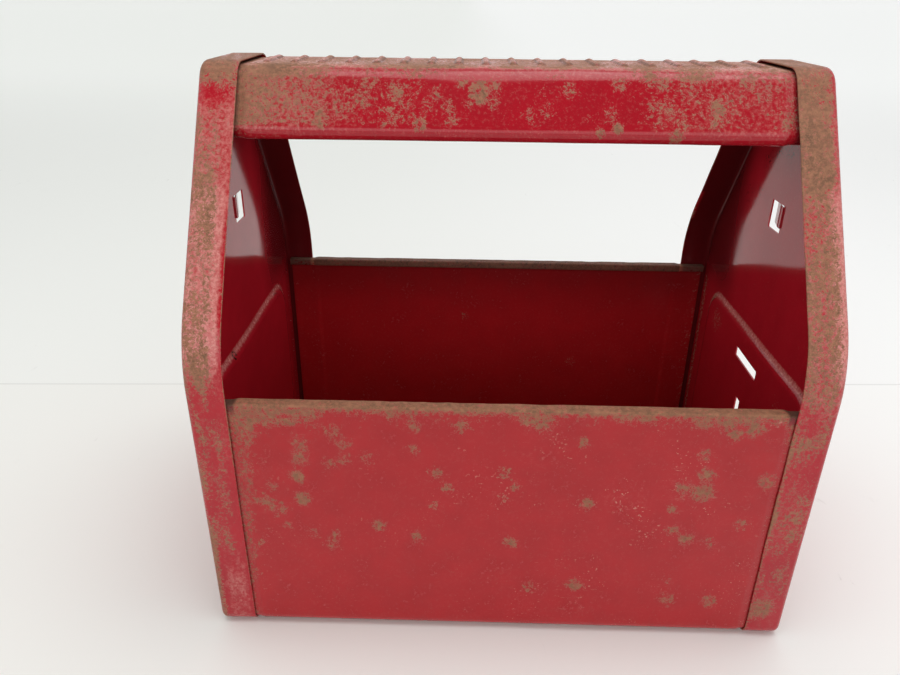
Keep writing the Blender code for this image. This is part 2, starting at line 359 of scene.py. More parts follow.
class Nodes:
    """Short names for the shader nodes that the materials use."""

    def __init__(self, tree):
        self.tree = tree
        self.coordinates = None

    def add(self, kind, **settings):
        node = self.tree.nodes.new(kind)
        for key, value in settings.items():
            setattr(node, key, value)
        return node

    def feed(self, socket, value):
        if isinstance(value, bpy.types.NodeSocket):
            self.tree.links.new(value, socket)
        elif isinstance(value, tuple) and len(value) == 3 and socket.type == "RGBA":
            socket.default_value = (*value, 1.0)
        else:
            socket.default_value = value

    def place(self):
        if self.coordinates is None:
            self.coordinates = self.add("ShaderNodeTexCoord").outputs["Object"]
        return self.coordinates

    def stretched(self, x, y, z):
        node = self.add("ShaderNodeVectorMath", operation="MULTIPLY")
        self.feed(node.inputs[0], self.place())
        node.inputs[1].default_value = (x, y, z)
        return node.outputs[0]

    def noise(self, scale, detail=3.0, roughness=0.5, vector=None, distortion=0.0):
        node = self.add("ShaderNodeTexNoise")
        self.feed(node.inputs["Vector"], vector or self.place())
        node.inputs["Scale"].default_value = scale
        node.inputs["Detail"].default_value = detail
        node.inputs["Roughness"].default_value = roughness
        node.inputs["Distortion"].default_value = distortion
        return node.outputs["Fac"]

    def math(self, operation, a, b=0.0, clamp=False):
        node = self.add("ShaderNodeMath", operation=operation, use_clamp=clamp)
        self.feed(node.inputs[0], a)
        self.feed(node.inputs[1], b)
        return node.outputs[0]

    def ramp(self, value, low, high, to_low=0.0, to_high=1.0, kind="SMOOTHSTEP"):
        node = self.add("ShaderNodeMapRange", interpolation_type=kind)
        self.feed(node.inputs["Value"], value)
        node.inputs["From Min"].default_value = low
        node.inputs["From Max"].default_value = high
        node.inputs["To Min"].default_value = to_low
        node.inputs["To Max"].default_value = to_high
        return node.outputs["Result"]

    def mix(self, amount, a, b, blend="MIX"):
        node = self.add("ShaderNodeMix", data_type="RGBA", blend_type=blend)
        self.feed(node.inputs[0], amount)
        self.feed(node.inputs[6], a)
        self.feed(node.inputs[7], b)
        return node.outputs[2]

    def amount(self, name):
        return self.add("ShaderNodeAttribute", attribute_name=name).outputs["Fac"]


RUST_TAN = (0.345, 0.148, 0.078)
RUST_BROWN = (0.255, 0.105, 0.055)
RUST_DARK = (0.120, 0.058, 0.028)
RUST_PINK = (0.400, 0.085, 0.070)
BARE_CHIP = (0.58, 0.23, 0.18)
DIRT = (0.018, 0.009, 0.007)
SHADED_RED = (0.020, 0.004, 0.004)


def worn_enamel_with_painted_light(name, red, gloss, fade_and_sheen_colour, grain):
    """Red enamel with rust, faded and dirty areas, painted sheen and painted shade, taken from the mesh's
    attributes.
    """
    material = bpy.data.materials.new(name)
    material.use_nodes = True
    tree = material.node_tree
    shader = tree.nodes["Principled BSDF"]
    n = Nodes(tree)

    coarse = n.noise(70.0, 4.0, 0.6)
    patch = n.noise(grain, 6.0, 0.70)
    fine = n.noise(1500.0, 3.0, 0.6)
    speck = n.math("ADD", n.math("MULTIPLY", patch, 0.66), n.math("MULTIPLY", fine, 0.34))
    level = n.ramp(speck, 0.37, 0.63, kind="LINEAR")

    # rust spreads where its amount and the noise together pass 1
    rust = n.math("SUBTRACT", n.math("ADD", n.amount("rust"), level), 1.0)
    rusted = n.ramp(rust, -0.04, 0.32)
    halo = n.ramp(rust, -0.22, 0.06)
    core = n.ramp(rust, 0.30, 0.80)
    tint = n.ramp(n.noise(420.0, 4.0, 0.6), 0.38, 0.62)
    rust_colour = n.mix(tint, RUST_TAN, RUST_BROWN)
    pits = n.ramp(n.noise(820.0, 3.0, 0.7), 0.55, 0.68)
    cores = n.math("MULTIPLY", core, n.ramp(coarse, 0.35, 0.65, 0.10, 0.75))
    rust_colour = n.mix(cores, rust_colour, RUST_DARK)
    rust_colour = n.mix(n.math("MULTIPLY", pits, 0.40), rust_colour, RUST_DARK)

    # faded, chalky paint, and painted sheen on bends, ridges and tops
    fade_and_sheen_noise = n.ramp(n.noise(520.0, 5.0, 0.7), 0.36, 0.64, -0.24, 0.24, kind="LINEAR")
    fade_and_sheen_mask = n.ramp(n.math("ADD", n.amount("fade_and_sheen"), fade_and_sheen_noise), 0.02, 1.05)

    paint = n.mix(n.ramp(coarse, 0.3, 0.7, 0.0, 0.35), red, tuple(c * 0.72 for c in red))
    paint = n.mix(n.math("MULTIPLY", halo, 0.50), paint, RUST_PINK)
    paint = n.mix(fade_and_sheen_mask, paint, fade_and_sheen_colour)

    # fine scratches and chips
    lines = n.noise(1.0, 4.0, 0.6, vector=n.stretched(150.0, 150.0, 800.0), distortion=1.6)
    where = n.ramp(n.noise(26.0, 2.0, 0.5), 0.50, 0.66)
    lines = n.math("MULTIPLY", n.ramp(lines, 0.65, 0.72), where)
    dots = n.ramp(n.noise(700.0, 2.0, 0.5), 0.65, 0.70)
    chips = n.math("MULTIPLY", dots, n.ramp(n.noise(38.0, 2.0, 0.5), 0.5, 0.62))
    marks = n.math("MULTIPLY", n.math("MAXIMUM", lines, chips), n.amount("marks"))
    paint = n.mix(marks, paint, BARE_CHIP)

    colour = n.mix(rusted, paint, rust_colour)
    grime_noise = n.ramp(n.noise(520.0, 5.0, 0.7), 0.36, 0.64, kind="LINEAR")
    dirty = n.ramp(n.math("SUBTRACT", n.math("ADD", n.amount("grime"), grime_noise), 1.0), -0.05, 0.35)
    colour = n.mix(n.math("MULTIPLY", dirty, 0.88), colour, DIRT)
    # painted shade: the dark amount mixes the colour towards a shaded red
    colour = n.mix(n.amount("dark"), colour, SHADED_RED)
    n.feed(shader.inputs["Base Color"], colour)

    worn = n.math("MAXIMUM", rusted, n.math("MULTIPLY", fade_and_sheen_mask, 0.45))
    smear = n.ramp(coarse, 0.3, 0.7, gloss, gloss * 1.5)
    rough = n.math("ADD", smear, n.math("MULTIPLY", worn, 0.5), clamp=True)
    n.feed(shader.inputs["Roughness"], n.math("MINIMUM", rough, 0.82))
    shader.inputs["IOR"].default_value = 1.43

    crust = n.math("MULTIPLY", rusted, n.ramp(fine, 0.3, 0.7, 0.3, 1.0))
    height = n.math("ADD", crust, n.math("MULTIPLY", marks, -0.5))
    bump = n.add("ShaderNodeBump")
    bump.inputs["Strength"].default_value = 0.55
    bump.inputs["Distance"].default_value = 0.00022
    n.feed(bump.inputs["Height"], height)
    n.feed(shader.inputs["Normal"], bump.outputs["Normal"])
    return material


pan_material = worn_enamel_with_painted_light("end_pan_paint", (0.420, 0.0105, 0.0210), 0.08, (0.640, 0.250, 0.220), 620.0)
tray_material = worn_enamel_with_painted_light("tray_paint", (0.420, 0.0100, 0.0150), 0.18, (0.520, 0.110, 0.100), 540.0)
handle_material = worn_enamel_with_painted_light("handle_paint", (0.405, 0.0080, 0.0180), 0.11, (0.620, 0.260, 0.220), 500.0)


# ---------------------------------------------------------------- end pans

def press_depth(y, z):
    """How far the pressed panel steps inwards at a point of the plate."""
    middle = (PRESS_TOP + PRESS_BOTTOM) / 2
    half_height = (PRESS_TOP - PRESS_BOTTOM) / 2
    qy = np.abs(y) - (PRESS_HALF_WIDTH - PRESS_CORNER)
    qz = np.abs(z - middle) - (half_height - PRESS_CORNER)
    outside = np.hypot(np.maximum(qy, 0), np.maximum(qz, 0)) + np.minimum(np.maximum(qy, qz), 0)
    inside = PRESS_CORNER - outside
    return PRESS_DEPTH * smooth((inside - PRESS_MARGIN) / (PRESS_SHOULDER - 2 * PRESS_MARGIN)), inside


def rounded_box(centre_y, centre_z, size_y, size_z, radius, step):
    """Hole outline, anticlockwise, with slightly rounded corners."""
    y, z = size_y / 2, size_z / 2
    corners = [(-y, -z), (y, -z), (y, z), (-y, z)]
    return trace([(centre_y + a, centre_z + b, radius, step) for a, b in corners], True)[0]


SHOULDER_RINGS = (-0.001, 0.0005, 0.0018, 0.0030, 0.0042, 0.0055, 0.0068, 0.0080)


def plate_pattern(border, holes):
    """Triangulation of the plate: points, triangles, and the hole loops as point numbers."""
    shoulder = []
    for shrink in SHOULDER_RINGS:
        y, z = PRESS_HALF_WIDTH - shrink, PRESS_TOP - shrink
        low = PRESS_BOTTOM + shrink
        ring = [(y, low), (y, z), (-y, z), (-y, low)]
        shoulder.append(trace([(a, b, PRESS_CORNER - shrink, 0.0022) for a, b in ring], True)[0])
    shoulder = np.concatenate(shoulder)
    spacing = 0.0036
    rows = np.arange(0.001, HEIGHT, spacing * 0.87)
    grid = []
    for k, z in enumerate(rows):
        for y in np.arange(-0.11 + (k % 2) * spacing / 2, 0.11, spacing):
            grid.append((y, z))
    grid = np.array(grid)
    _, inside = press_depth(grid[:, 0], grid[:, 1])
    grid = grid[(inside < -0.0025) | (inside > 0.0095)]
    loose = np.concatenate([grid, shoulder])
    edges = np.roll(border, -1, 0) - border
    sides = np.stack([edges[:, 1], -edges[:, 0]], 1) / np.linalg.norm(edges, axis=1)[:, None]
    reach = ((loose[:, None, :] - border[None]) * sides[None]).sum(2).max(1)
    loose = loose[reach < -0.0016]
    for hole in holes:
        away = np.linalg.norm(loose[:, None, :] - hole[None], axis=2).min(1)
        low, high = hole.min(0), hole.max(0)
        in_hole = ((loose > low) & (loose < high)).all(1)
        loose = loose[(away > 0.0011) & ~in_hole]
    loops, points = [], [border]
    total = len(border)
    for hole in holes:
        loops.append(list(range(total, total + len(hole))))
        points.append(hole)
        total += len(hole)
    points = np.concatenate(points + [loose])
    rings = [list(range(len(border)))] + loops
    fixed = [(ring[i], ring[(i + 1) % len(ring)]) for ring in rings for i in range(len(ring))]
    made = delaunay_2d_cdt([Vector(p) for p in points], fixed, [], 0, DELAUNAY_EPSILON)
    assert len(made[0]) == len(points)
    order = [sources[0] for sources in made[3]]
    triangles = []
    for triangle in made[2]:
        corners = [order[i] for i in triangle]
        middle = points[corners].mean(0)
        (ay, az), (by, bz), (cy, cz) = points[corners]
        if abs((by - ay) * (cz - az) - (cy - ay) * (bz - az)) < SLIVER:
            continue
        if any(((middle > h.min(0)) & (middle < h.max(0))).all() for h in holes):
            continue
        triangles.append(corners)
    return points, triangles, loops


def pan_wear_and_painted_light(side, x, y, z, inset, inner):
    """Wear amounts over one end pan."""
    from_plate = (PLATE_X - np.abs(x)) * MM
    across = np.clip(from_plate / (FLANGE_WIDTH * MM), 0, 1)
    height = z * MM
    flange = inset < PAN_BEND - 1e-6
    on_flange = ~inner & flange & (from_plate > 1.2)
    drift = waves(41 + side, 0.045)(y + x * 3, z)
    swirl = waves(47 + side, 0.018)(y * 1.3 + x * 5, z)
    front = y < 0
    seen_left = (side < 0) == front

    left = 0.58 * band(height, 238, 262, 12)
    left = np.maximum(left, 0.68 * band(height, 150, 236, 14))
    left = np.maximum(left, 0.36 * band(height, 128, 150, 12))
    left = np.maximum(left, 0.46 * band(height, 58, 128, 14))
    left = left * (0.18 + 0.82 * smooth((0.80 - across) / 0.12))
    left = np.maximum(left, 0.92 * smooth((height - 266) / 16))
    left = np.maximum(left, 0.78 * smooth((0.30 - across) / 0.16) * smooth((88 - height) / 25))
    # worn, faded paint, with a painted highlight where the flange's belly catches the light
    left_fade_and_sheen = 0.66 * band(height, 168, 225, 26) * smooth((0.97 - across) / 0.05)
    left_fade_and_sheen = np.maximum(left_fade_and_sheen, 0.42 * band(height, 225, 262, 16))
    left_fade_and_sheen = np.maximum(left_fade_and_sheen, 0.30 * smooth((60 - height) / 30) * band(across, 0.4, 0.85, 0.15))

    right = 0.92 * smooth((height - 214) / 26)
    right = np.maximum(right, 0.74 * band(height, 150, 236, 16))
    right = np.maximum(right, 0.44 * band(height, 118, 156, 14))
    right = np.maximum(right, 0.34 * band(height, 34, 118, 14))
    right = right * (0.35 + 0.65 * smooth((across - 0.10) / 0.14))
    right = np.maximum(right, 0.62 * smooth((across - 0.82) / 0.12) * smooth((165 - height) / 40))
    # worn, faded paint, with a painted highlight where the flange's belly catches the light
    right_fade_and_sheen = 0.74 * band(height, 166, 226, 22) * smooth((0.62 - across) / 0.4)
    right_fade_and_sheen = np.maximum(right_fade_and_sheen, 0.30 * band(height, 150, 260, 20))
    patches = [(137, 21, 8, 1.0), (141, 125, 5, 0.95), (137, 196, 9, 1.0), (146, 70, 5, 0.8),
               (144, 82, 5, 0.85), (140, 60, 6, 0.75), (143, 46, 4, 0.8), (147, 92, 4, 0.75),
               (139, 148, 6, 0.85)]
    right = np.maximum(right, spots(np.abs(x), z, patches) * on_flange)

    rust = np.where(seen_left, left, right) + 0.11 * drift + 0.12 * swirl
    fade_and_sheen = np.where(seen_left, left_fade_and_sheen, right_fade_and_sheen) + 0.05 * drift

    # outside of the plate: rust creeping in from the bends, and a few blooms
    edge = np.clip(inset, 0, None) * MM
    bloom = np.clip(waves(61 + side, 0.060)(y, z) - 0.9, 0, 1)
    plate = 0.55 * np.exp(-edge / 7) + 0.5 * bloom + 0.10 * swirl + 0.24 * smooth((45 - height) / 45)
    plate = np.maximum(plate, 0.40 * band(press_depth(y, z)[1] * MM, 0.5, 5, 1.5))
    rust = np.where(on_flange, rust, plate)
    fade_and_sheen = np.where(on_flange, fade_and_sheen, 0.05 + 0.10 * drift)

    # inside: glossy paint, rust and a painted highlight on the pressed shoulder, patches of dirt
    ridge = band(press_depth(y, z)[1] * MM, 0.8, 3.6, 1.2)
    inside_rust = -0.35 + 0.03 * swirl
    if side > 0:
        on_ridge = [(76, 118, 14, 1.0), (30, 133, 30, 0.45), (-62, 130, 26, 0.40)]
        inside_rust = np.maximum(inside_rust, ridge * spots(y, z, on_ridge))
        inside_rust = np.maximum(inside_rust, spots(y, z, [(60, 116, 9, 0.45), (-50, 108, 8, 0.3)]))
        grime = spots(y, z, [(4, 243, 9, 0.62), (18, 240, 8, 0.50), (31, 231, 6, 0.5),
                             (50, 205, 7, 0.45), (34, 212, 5, 0.42)])
    else:
        grime = spots(y, z, [(-34, 130, 3.2, 1.0), (60, 128, 4, 0.5)])
    seam = band(y * MM, 96.0, 99.5, 2.0) * (height < 134)
    inside_rust = np.maximum(inside_rust, (0.97 if side > 0 else 0.65) * seam - 0.35)
    inner_flange = inner & flange
    inside_rust = np.where(inner_flange, -0.10 + 0.1 * drift, inside_rust)
    rust = np.where(inner, inside_rust, rust)
    # painted highlight along the pressed shoulder
    fade_and_sheen = np.where(inner, 0.62 * ridge - 0.4 * (1 - ridge), fade_and_sheen)
    grime = np.where(inner, grime, 0.12 * smooth((swirl - 0.9) / 0.5))
    rim = (from_plate > FLANGE_WIDTH * MM - 0.5)
    rust = np.where(rim, np.maximum(rust, 0.62 + 0.25 * drift), rust)
    # painted shade inside: darker towards the back and the top of the plate and on the rear half of the inner
    # flange. The outer flange is painted slightly darker, more towards the bottom
    behind = smooth((y * MM - 36) / 38) * smooth((height - 118) / 34)
    plate_shade = 0.78 * behind + 0.40 * smooth((height - 215) / 40)
    dark = np.where(inner_flange, 0.80 * (y > 0) * (height < 262), plate_shade)
    dark = dark * inner * ~rim
    dark = np.where(on_flange, 0.06 + 0.08 * smooth((70 - height) / 30), dark)
    marks = np.where(inner, 0.0, 0.12)
    return {"rust": rust, "fade_and_sheen": fade_and_sheen, "grime": grime, "dark": dark, "marks": marks}


def make_end_pan(name, side, node):
    points, normals = pan_outline()
    count = len(points)
    turn = np.linspace(0, math.pi / 2, 8)
    rim_turn = np.linspace(0, math.pi, 7)[1:-1]
    flat = np.linspace(PAN_BEND, FLANGE_WIDTH - RIM, 8)
    rings = [(PAN_BEND - PAN_BEND * math.cos(t), PAN_BEND - PAN_BEND * math.sin(t), False) for t in turn]
    rings += [(run, 0.0, False) for run in flat[1:]]
    for t in rim_turn:
        rings.append((FLANGE_WIDTH - RIM + RIM * math.sin(t), RIM - RIM * math.cos(t), t > math.pi / 2))
    rings += [(run, SHEET, True) for run in flat[::-1]]
    tight = PAN_BEND - SHEET
    rings += [(PAN_BEND - tight * math.cos(t), PAN_BEND - tight * math.sin(t), True) for t in turn[::-1][1:]]

    length = np.concatenate([[0], np.cumsum(np.linalg.norm(np.diff(points, axis=0), axis=1))])
    ripple = waves(11 + side, 0.050)(length, length * 0) * PAN_RIPPLE
    dish = waves(17 + side, 0.080)(points[:, 0], points[:, 1]) * PAN_DISH
    vertices, insets, inners = [], [], []
    for run, inset, inner in rings:
        share = smooth((run - PAN_BEND) / (FLANGE_WIDTH - PAN_BEND))
        sway = np.clip(dish, -PAN_DISH / 2, PAN_DISH) * share
        yz = points + normals * (inset + PAN_DISH / 2 + sway)[:, None]
        x = side * (PLATE_X - run - (ripple - 0.0002) * share)
        vertices.append(np.column_stack([x, yz]))
        insets.append(np.full(count, inset))
        inners.append(np.full(count, inner))
    faces = []
    numbers = [list(range(k * count, (k + 1) * count)) for k in range(len(rings))]
    for first, second in zip(numbers, numbers[1:]):
        faces += loop_quads(first, second)

    border = vertices[0][:, 1:]
    window = rounded_box(WINDOW_Y[side], WINDOW_Z, WINDOW_SIZE, WINDOW_SIZE, WINDOW_CORNER, HOLE_STEP)
    holes = [window]
    if side > 0:
        cross_wide, cross_high, cross_z = CROSS_SLOT
        holes.append(rounded_box(SLOT_Y, cross_z, cross_wide, cross_high, SLOT_CORNER, HOLE_STEP))
        stem_wide, stem_high, stem_top = STEM_SLOT
        stem_z = stem_top - stem_high / 2
        holes.append(rounded_box(SLOT_Y, stem_z, stem_wide, stem_high, SLOT_CORNER, HOLE_STEP))
    flat_points, triangles, loops = plate_pattern(border, holes)
    y, z = flat_points[count:, 0], flat_points[count:, 1]
    sag = waves(23 + side, 0.11)(y, z) * PLATE_SAG
    from_border = np.linalg.norm(flat_points[count:, None] - border[None], axis=2).min(1)
    depth = press_depth(y, z)[0] + (sag - 0.0005) * smooth(from_border / 0.02)
    edge_room = from_border + PAN_BEND
    total = len(rings) * count
    starts = {}
    for inner in (False, True):
        starts[inner] = total
        vertices.append(np.column_stack([side * (PLATE_X - depth - (SHEET if inner else 0.0)), y, z]))
        insets.append(edge_room)
        inners.append(np.full(len(y), inner))
        total += len(y)
        ring = numbers[-1] if inner else numbers[0]
        table = ring + list(range(starts[inner], total))
        faces += [tuple(table[i] for i in corners) for corners in triangles]
    for loop in loops:
        outer = [starts[False] + i - count for i in loop]
        inside = [starts[True] + i - count for i in loop]
        faces += loop_quads(outer, inside)

    # lanced tab, curling out from the window's front edge
    low = WINDOW_Z - WINDOW_SIZE / 2 + TAB_LOW
    high = WINDOW_Z + WINDOW_SIZE / 2 - TAB_HIGH
    hinge = WINDOW_Y[side] - WINDOW_SIZE / 2
    along = np.linspace(-0.0006, TAB_LENGTH, 12)
    bend = TAB_ANGLE * smooth(along / 0.004)
    run_y = hinge + np.concatenate([[along[0]], along[0] + np.cumsum(np.diff(along) * np.cos(bend[1:]))])
    run_x = np.concatenate([[0], np.cumsum(np.diff(along) * np.sin(bend[1:]))])
    thin = SHEET - 2 * TAB_SKIN
    tab = []
    for py, px, angle in zip(run_y, run_x, bend):
        for height in (low, high):
            for layer in (TAB_SKIN, TAB_SKIN + thin):
                out = PLATE_X + px - TAB_BACKSET - layer * math.cos(angle)
                tab.append((side * out, py + layer * math.sin(angle), height))
    tab = np.array(tab)
    vertices.append(tab)
    insets.append(np.full(len(tab), 0.03))
    inners.append(np.tile([False, True], len(tab) // 2))
    for k in range(len(along) - 1):
        a, b = total + 4 * k, total + 4 * k + 4
        faces += [(a, a + 1, b + 1, b), (a + 3, a + 2, b + 2, b + 3)]
        faces += [(a, b, b + 2, a + 2), (a + 1, a + 3, b + 3, b + 1)]
    last = total + 4 * (len(along) - 1)
    faces += [(total, total + 2, total + 3, total + 1), (last, last + 1, last + 3, last + 2)]

    vertices = np.concatenate(vertices)
    wear_and_painted_light = pan_wear_and_painted_light(side, *vertices.T, np.concatenate(insets), np.concatenate(inners))
    make_piece(name, vertices, faces, wear_and_painted_light, node, pan_material)


# ---------------------------------------------------------------- tray

# millimetres along X: where the pans' flanges end, and where the painted shadow beside them starts
FLANGE_END = 133
FLANGE_SHADOW_START = 132.2

FRONT_SPOTS = [
    (-100, 118, 4.8, 0.78), (-101, 110, 4.8, 0.85), (-103, 100, 4.0, 1.05), (-84, 126, 4.0, 0.80),
    (-79, 119, 4.8, 0.62), (-86, 108, 4.8, 0.62), (-79, 110, 4.0, 0.62), (-101, 86, 4.8, 0.92),
    (-114, 79, 5.6, 0.70), (-120, 85, 4.8, 0.72), (-110, 69, 3.2, 0.62), (-116, 93, 4.0, 0.60),
    (-63, 70, 4.0, 0.88), (-88, 57, 4.0, 0.80), (-97, 64, 4.0, 0.62), (-86, 64, 3.2, 0.66),
    (-45, 130, 4.0, 0.88), (-22, 131, 4.0, 0.95), (-45, 117, 3.2, 0.80), (-68, 111, 4.0, 0.58),
    (-34, 103, 4.0, 0.82), (-29, 95, 3.2, 0.80), (-35, 84, 3.2, 0.66), (-44, 63, 4.0, 0.72),
    (4, 61, 4.0, 1.00), (-1, 104, 4.0, 0.78), (5, 96, 3.2, 0.80), (-1, 89, 3.2, 0.72),
    (-125, 57, 3.2, 0.66), (36, 123, 3.2, 0.82), (41, 87, 4.0, 0.98), (87, 98, 4.0, 0.98),
    (94, 117, 4.0, 0.90), (97, 106, 4.8, 0.90), (97, 95, 5.6, 1.02), (92, 97, 4.0, 0.85),
    (83, 85, 3.2, 0.85), (85, 72, 4.0, 0.80), (93, 66, 4.0, 0.92), (119, 76, 4.0, 0.80),
    (126, 103, 4.8, 0.85), (115, 133, 5.6, 0.95), (106, 130, 4.8, 0.80), (39, 34, 4.8, 1.00),
    (15, 31, 4.0, 0.72), (111, 24, 4.8, 0.85), (89, 25, 4.8, 0.72), (1, 106, 2.4, 0.70),
    (104, 64, 4.0, 0.62), (87, 38, 3.2, 0.66),
]
TOP_BORDER_X = [-145, -127, -112, -99, -88, -75, -51, -28, -10, 2,
                8, 20, 27, 42, 65, 84, 92, 105, 118, 145]
TOP_BORDER_MM = [14, 14, 12, 10, 7, 5, 5, 4, 3.5, 4, 9, 9, 5, 5, 6, 6, 9, 9, 4, 3]


def tray_wear_and_painted_light(x, y, z, facing_in):
    mm_x, mm_z = x * MM, z * MM
    swirl = waves(71, 0.014)(x, z + y)
    drift = waves(73, 0.050)(x, z + y * 1.7)
    outside = ~facing_in
    at_front = y < 0
    below = np.where(at_front, TRAY_FRONT_TOP, TRAY_BACK_TOP) * MM - mm_z

    border = np.interp(np.where(at_front, mm_x, -mm_x * 0.9 + 12), TOP_BORDER_X, TOP_BORDER_MM)
    border = border + 1.4 * swirl + 0.8 * drift
    wall = 0.98 * smooth((2.2 - below) / 2.0 + 0.5)
    wall = np.maximum(wall, 0.70 * smooth((border - below) / 5.0 + 0.5))
    wall = np.maximum(wall, 0.34 * smooth((border + 9 - below) / 12))
    left_gap = mm_x + FLANGE_END + np.where(at_front, 0, 4)
    left_width = np.interp(mm_z, [0, 20, 45, 62, 90, 125, 140], [2, 3, 4, 6, 9, 12, 18])
    wall = np.maximum(wall, 0.70 * smooth((left_width + 1.5 * swirl - left_gap) / 4.0 + 0.5))
    wall = np.maximum(wall, 0.34 * smooth((left_width + 16 - left_gap) / 16) * smooth((mm_z - 40) / 30))
    right_gap = FLANGE_END - mm_x
    wall = np.maximum(wall, 0.44 * smooth((3.0 + swirl - right_gap) / 3.0 + 0.5))
    wall = np.maximum(wall, 0.16 * smooth((mm_z - 30) / 60) * smooth((-50 - mm_x) / 50))
    wall = wall - 0.25 * smooth((below - 12) / 12)
    rng = np.random.default_rng(5)
    back_spots = []
    for _ in range(44):
        place = (rng.uniform(-135, 135), rng.uniform(14, 132))
        back_spots.append(place + (rng.uniform(3, 7), rng.uniform(0.6, 1.0)))
    wall = np.maximum(wall, np.where(at_front, spots(x, z, FRONT_SPOTS), spots(x, z, back_spots)))
    under = 0.42 + 0.16 * drift + 0.3 * smooth((3 - mm_z) / 3)
    rust = np.where(mm_z < 1.6, under, wall)

    shelf = below < 1.2
    ledge_y = np.where(at_front, half_depth(TRAY_FRONT_TOP), half_depth(TRAY_BACK_TOP))
    lip = np.abs(y) < ledge_y - LEDGE_DEPTH + 0.0012
    lip = lip & (below < LIP_DROP * MM + 0.6)
    rust = np.where(shelf | lip, np.where(at_front, 0.98, 0.90) + 0.06 * swirl, rust)
    inside = facing_in & ~(shelf | lip)
    corner = smooth((np.abs(mm_x) - 141) / 4)
    inside_rust = 0.40 * corner * smooth((mm_x + 20) / 40) - 0.2
    flecks = spots(x, z, [(-22, 96, 3, 0.6), (60, 60, 4, 0.5), (-120, 12, 10, 0.5)])
    inside_rust = np.maximum(inside_rust, np.where(y > 0, flecks, -0.4))
    inside_rust = np.where(mm_z < 4, 0.45 + 0.2 * drift, inside_rust)
    rust = np.where(inside, inside_rust, rust)

    fade_and_sheen = np.where(outside, -0.10 + 0.10 * drift, -0.4)
    # painted highlight along the top fold of the outer walls
    fold_highlight = band(below, -0.6, 1.6, 0.8) * outside
    fade_and_sheen = np.maximum(fade_and_sheen, 0.30 * fold_highlight)
    # the back ledge's top and lip: a little dirt and painted shade
    back_top = (y > 0) & (shelf | lip)
    grime = np.where(back_top, 0.30 + 0.05 * drift, -0.2)
    dark = np.where(back_top, 0.62, 0.0)
    # painted shade: the inside darker towards the top
    dark = np.maximum(dark, 0.46 * inside * smooth((mm_z - 84) / 55))
    # painted shade: the outer walls a little darker
    dark = np.maximum(dark, 0.12 * (outside & ~(shelf | lip)))
    # painted shade at the ends of the front ledge beside the flanges
    ledge_end_shade = smooth((np.abs(mm_x) - 128.6) / 2.2) * smooth((7.5 - below) / 4.0) * at_front
    # painted shadow along the edges of the pans' flanges
    flange_shadow = smooth((np.abs(mm_x) - FLANGE_SHADOW_START) / 0.8) * outside * (mm_z > 1.0)
    dark = np.maximum(dark, np.maximum(0.72 * ledge_end_shade, 0.75 * flange_shadow))
    marks = np.where(outside, 0.35 + 0.5 * smooth((mm_x + 60) / 120), 0.0)
    return {"rust": rust, "fade_and_sheen": fade_and_sheen, "grime": grime, "dark": dark, "marks": marks}


def make_tray():
    points, normals = tray_outline()
    body = np.linspace(-STEP_START, STEP_START, 94)
    step = np.linspace(STEP_START, STEP_END, 8)[1:]
    tail = np.linspace(STEP_END, TRAY_HALF_LENGTH, 8)[1:]
    stations = np.concatenate([-tail[::-1], -step[::-1], body, step, tail])
    front_dents, back_dents = waves(31, 0.095), waves(33, 0.095)
    small = waves(35, 0.030)

    def outward(x, y, z):
        room = smooth((STEP_START - np.abs(x)) / 0.03) * smooth(z / 0.02) * smooth((0.139 - z) / 0.02)
        wave = np.where(y < 0, front_dents(x, z), back_dents(x, z))
        ledge = smooth((z - 0.138) / 0.002) * small(x, y * 3) * LEDGE_DENT
        ledge = ledge * smooth((STEP_START - np.abs(x)) / 0.02)
        return room * (wave * TRAY_DENT + small(x, z) * TRAY_RIPPLE) - np.abs(ledge)

    vertices, faces, depth = lofted_sheet(points, normals, stations, outward)
    wear_and_painted_light = tray_wear_and_painted_light(*vertices.T, depth > RIM)
    make_piece("tray_sheet", vertices, faces, wear_and_painted_light, "tray_body", tray_material)


# ---------------------------------------------------------------- handle

HANDLE_SPOTS = [
    (-17, 273, 5.5, 1.12), (-10, 268, 3, 0.72), (-22, 267, 3, 0.60), (-25, 277, 3, 0.8),
    (-10, 275, 4, 0.75), (-45, 259, 4, 0.85), (-30, 261, 4, 0.72), (-37, 272, 4, 0.62), (-32, 266, 4, 0.60),
    (-57, 272, 5, 0.85), (-60, 262, 6, 0.62), (-73, 270, 5, 0.88), (-93, 261, 5, 0.95), (-102, 265, 5, 0.78),
    (-42, 267, 4, 0.60), (-82, 266, 7, 0.66), (-106, 274, 7, 0.72), (-70, 276, 6, 0.66), (49, 258, 3.0, 1.0),
    (41, 256, 2.6, 0.9), (50, 277, 4, 0.72), (26, 274, 4, 0.72), (15, 265, 4, 0.55), (7, 263, 4, 0.55),
    (46, 264, 4, 0.58), (70, 277, 4, 0.82), (64, 279, 4, 0.72), (72, 267, 4, 0.80), (66, 268, 4, 0.72),
    (80, 261, 4, 0.76), (96, 267, 5, 1.0), (96, 261, 4, 0.80), (77, 255, 4, 0.90), (68, 261, 4, 0.62),
    (111, 279, 5, 0.80), (130, 261, 4, 0.85), (118, 274, 6, 0.62), (104, 270, 6, 0.60), (86, 272, 5, 0.60),
]


def rib_height(x, y):
    nearest = np.clip(np.round(x / RIB_PITCH), -(RIB_COUNT // 2), RIB_COUNT // 2) * RIB_PITCH
    u = np.clip(np.abs(x - nearest) / RIB_HALF_WIDTH, 0, 1)
    v = np.clip((np.abs(y) - (RIB_HALF_LENGTH - RIB_END)) / RIB_END, 0, 1)
    return RIB_HEIGHT * (1 - u * u) ** 0.95 * (1 - v * v) ** 0.5


